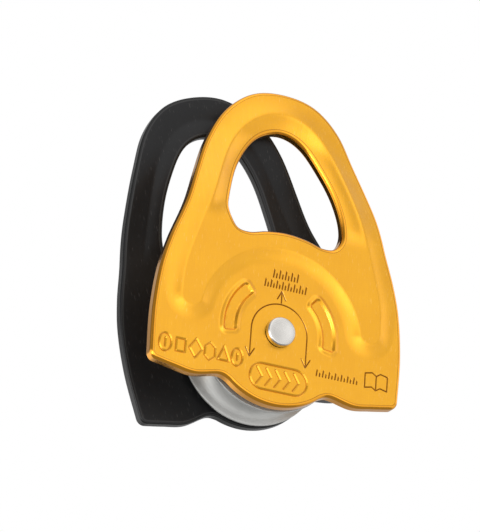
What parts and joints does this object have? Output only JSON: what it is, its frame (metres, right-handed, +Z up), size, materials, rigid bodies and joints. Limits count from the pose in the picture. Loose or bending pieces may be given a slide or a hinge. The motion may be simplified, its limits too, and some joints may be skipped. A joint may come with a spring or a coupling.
{
  "type": "rope pulley",
  "caption": "Small swing-plate rope pulley: two pressed side plates with carabiner eyes and square lower corners, swinging on one axle round a grooved ball-bearing sheave.",
  "frame": {"origin": "centre of the axle's flat front face, on the axis that both plates and the sheave turn about", "axes": "+Y along the axle from the front plate to the rear plate, +Z up the front plate from the axle to its eye, +X to the right seen from the front"},
  "size_m": [0.0668, 0.024, 0.0842],
  "materials": {
    "gold_anodised": "satin anodised gold",
    "black_anodised": "satin anodised black",
    "stainless": "satin stainless",
    "turned_aluminium": "fine turned",
    "bearing_steel": "ground and polished",
    "nylon": "natural",
    "seal_rubber": "matt moulded"
  },
  "bodies": {
    "axle": {"axle_pin": "stainless", "front_thrust_washer": "nylon", "rear_thrust_washer": "nylon", "front_spacer_collar": "stainless", "rear_spacer_collar": "stainless", "bearing_inner_race": "bearing_steel"},
    "front_plate": {"front_side_plate": "gold_anodised"},
    "rear_plate": {"rear_side_plate": "black_anodised"},
    "sheave": {"sheave": "turned_aluminium", "bearing_outer_race": "bearing_steel", "front_bearing_seal": "seal_rubber", "rear_bearing_seal": "seal_rubber"},
    "ball_train": {"bearing_cage": "nylon", "bearing_ball_1": "bearing_steel", "bearing_ball_2": "bearing_steel", "bearing_ball_3": "bearing_steel", "bearing_ball_4": "bearing_steel", "bearing_ball_5": "bearing_steel", "bearing_ball_6": "bearing_steel", "bearing_ball_7": "bearing_steel"}
  },
  "joints": [
    {"name": "front_plate_swing", "type": "hinge", "parent": "axle", "child": "front_plate", "pos_m": [0, 0.012, 0], "axis": [0, 1, 0], "continuous": true},
    {"name": "rear_plate_swing", "type": "hinge", "parent": "axle", "child": "rear_plate", "pos_m": [0, 0.012, 0], "axis": [0, 1, 0], "continuous": true},
    {"name": "sheave_spin", "type": "hinge", "parent": "axle", "child": "sheave", "pos_m": [0, 0.012, 0], "axis": [0, 1, 0], "continuous": true},
    {"name": "ball_train_orbit", "type": "hinge", "parent": "axle", "child": "ball_train", "pos_m": [0, 0.012, 0], "axis": [0, 1, 0], "continuous": true}
  ],
  "couplings": [
    {"joint": "ball_train_orbit", "follows": "sheave_spin", "ratio": 0.6346}
  ]
}
